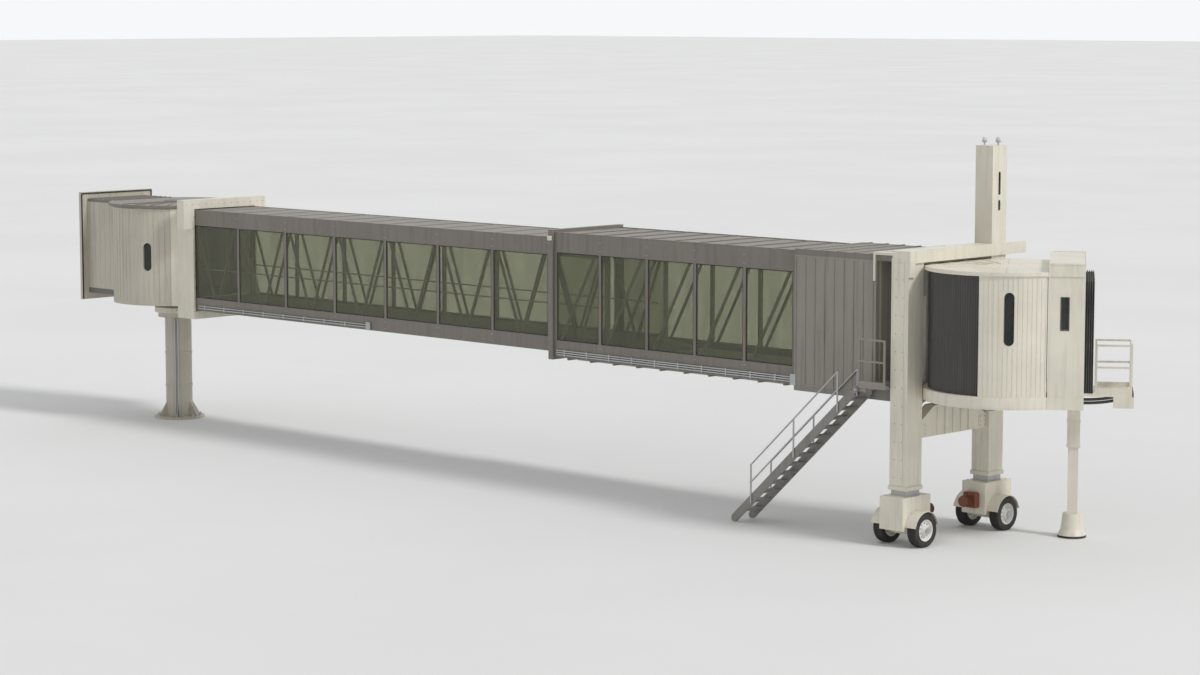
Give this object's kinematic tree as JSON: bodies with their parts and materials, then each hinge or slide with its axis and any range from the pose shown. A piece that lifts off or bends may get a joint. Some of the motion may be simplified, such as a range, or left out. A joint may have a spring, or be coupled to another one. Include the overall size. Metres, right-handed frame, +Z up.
{
  "type": "apron drive passenger boarding bridge",
  "caption": "Two-part telescoping glazed boarding bridge on a pedestal rotunda, with lift columns, wheel carriages, a turning cab and a service stair.",
  "frame": {"origin": "centre of the pedestal's base on the ground", "axes": "+X along the tunnels towards the cab, +Z up, +Y to the far side"},
  "size_m": [36.8649, 4.704, 9.2],
  "materials": {
    "cream_paint": "satin paint, weathered",
    "grey_band": "satin paint, weathered",
    "grey_steel": "matt paint",
    "green_glass": "tinted, clear",
    "dark_glass": "dark, clear",
    "dark_slats": "matt slats",
    "hood_fabric": "coated cloth",
    "tyre": "matt rubber"
  },
  "bodies": {
    "pedestal": {"pedestal_column": "grey_steel", "rotunda_floor": "grey_steel", "rotunda_roof": "grey_band", "stub_wall_near": "cream_paint", "stub_wall_far": "cream_paint", "wall_frame": "cream_paint"},
    "swing": {"swing_frame": "cream_paint", "rotunda_wall_near": "cream_paint", "rotunda_wall_far": "cream_paint"},
    "tunnel_a": {"a_floor": "grey_steel", "a_roof": "grey_band", "a_truss_near": "grey_band", "a_truss_far": "grey_band", "a_glass": "green_glass"},
    "tunnel_b": {"b_floor": "grey_steel", "b_roof": "grey_band", "b_truss_near": "grey_band", "b_truss_far": "grey_band", "b_glass": "green_glass", "b_rear_frame": "grey_band", "b_panel_near": "cream_paint", "b_panel_far": "cream_paint", "service_landing": "grey_steel", "service_door": "cream_paint", "front_frame": "cream_paint", "lift_column_near": "cream_paint", "lift_column_far": "cream_paint", "cross_beam": "cream_paint", "cab_cradle": "grey_steel", "curtain_near": "dark_slats", "curtain_far": "dark_slats"},
    "lift": {"lift_leg_near": "grey_steel", "lift_leg_far": "grey_steel"},
    "carriage_near": {"carriage_near": "cream_paint"},
    "carriage_far": {"carriage_far": "cream_paint"},
    "wheel_near_front": {"wheel_near_front": "tyre"},
    "wheel_near_back": {"wheel_near_back": "tyre"},
    "wheel_far_front": {"wheel_far_front": "tyre"},
    "wheel_far_back": {"wheel_far_back": "tyre"},
    "cab": {"cab_floor": "cream_paint", "cab_roof": "cream_paint", "cab_wall_near": "cream_paint", "cab_wall_far": "cream_paint", "cab_front": "cream_paint", "cab_glass": "dark_glass", "cab_hood": "hood_fabric", "front_platform": "cream_paint", "prop_sleeve": "cream_paint"},
    "prop_foot": {"prop_foot": "cream_paint"},
    "stair": {"stair_flight": "grey_steel", "stair_rails": "cream_paint"}
  },
  "joints": [
    {"name": "rotunda_swing", "type": "hinge", "parent": "pedestal", "child": "swing", "pos_m": [0, 0, 3.25], "axis": [0, 0, 1], "range_deg": [-30, 30]},
    {"name": "tunnel_pitch", "type": "hinge", "parent": "swing", "child": "tunnel_a", "pos_m": [2, 0, 3.65], "axis": [0, -1, 0], "range_deg": [0, 2]},
    {"name": "telescope", "type": "slide", "parent": "tunnel_a", "child": "tunnel_b", "axis": [1, 0, 0], "range_m": [-7, 0.9]},
    {"name": "lift_slide", "type": "slide", "parent": "tunnel_b", "child": "lift", "axis": [0, 0, -1], "range_m": [0, 0.96]},
    {"name": "steer_near", "type": "hinge", "parent": "lift", "child": "carriage_near", "pos_m": [29.35, -1.58, 1.17], "axis": [0, 0, 1], "range_deg": [-90, 90]},
    {"name": "steer_far", "type": "hinge", "parent": "lift", "child": "carriage_far", "pos_m": [29.35, 1.58, 1.17], "axis": [0, 0, 1], "range_deg": [-90, 90]},
    {"name": "cab_yaw", "type": "hinge", "parent": "tunnel_b", "child": "cab", "pos_m": [31.05344, 0, 3.42], "axis": [0, 0, 1], "range_deg": [-65, 20], "deforming": ["curtain_near", "curtain_far"]},
    {"name": "prop_slide", "type": "slide", "parent": "cab", "child": "prop_foot", "axis": [0, 0, 1], "range_m": [0, 0.6]},
    {"name": "stair_hinge", "type": "hinge", "parent": "tunnel_b", "child": "stair", "pos_m": [28.21, -1.71, 3.58], "axis": [0, -1, 0], "range_deg": [0, 13]},
    {"name": "roll_near_front", "type": "hinge", "parent": "carriage_near", "child": "wheel_near_front", "pos_m": [29.85, -1.58, 0.4], "axis": [1, 0, 0], "continuous": true},
    {"name": "roll_near_back", "type": "hinge", "parent": "carriage_near", "child": "wheel_near_back", "pos_m": [28.85, -1.58, 0.4], "axis": [1, 0, 0], "continuous": true},
    {"name": "roll_far_front", "type": "hinge", "parent": "carriage_far", "child": "wheel_far_front", "pos_m": [29.85, 1.58, 0.4], "axis": [1, 0, 0], "continuous": true},
    {"name": "roll_far_back", "type": "hinge", "parent": "carriage_far", "child": "wheel_far_back", "pos_m": [28.85, 1.58, 0.4], "axis": [1, 0, 0], "continuous": true}
  ],
  "couplings": [
    {"joint": "lift_slide", "follows": "tunnel_pitch", "m_per_rad": 27.35},
    {"joint": "stair_hinge", "follows": "tunnel_pitch", "ratio": 6.2},
    {"joint": "steer_far", "follows": "steer_near", "ratio": 1}
  ]
}
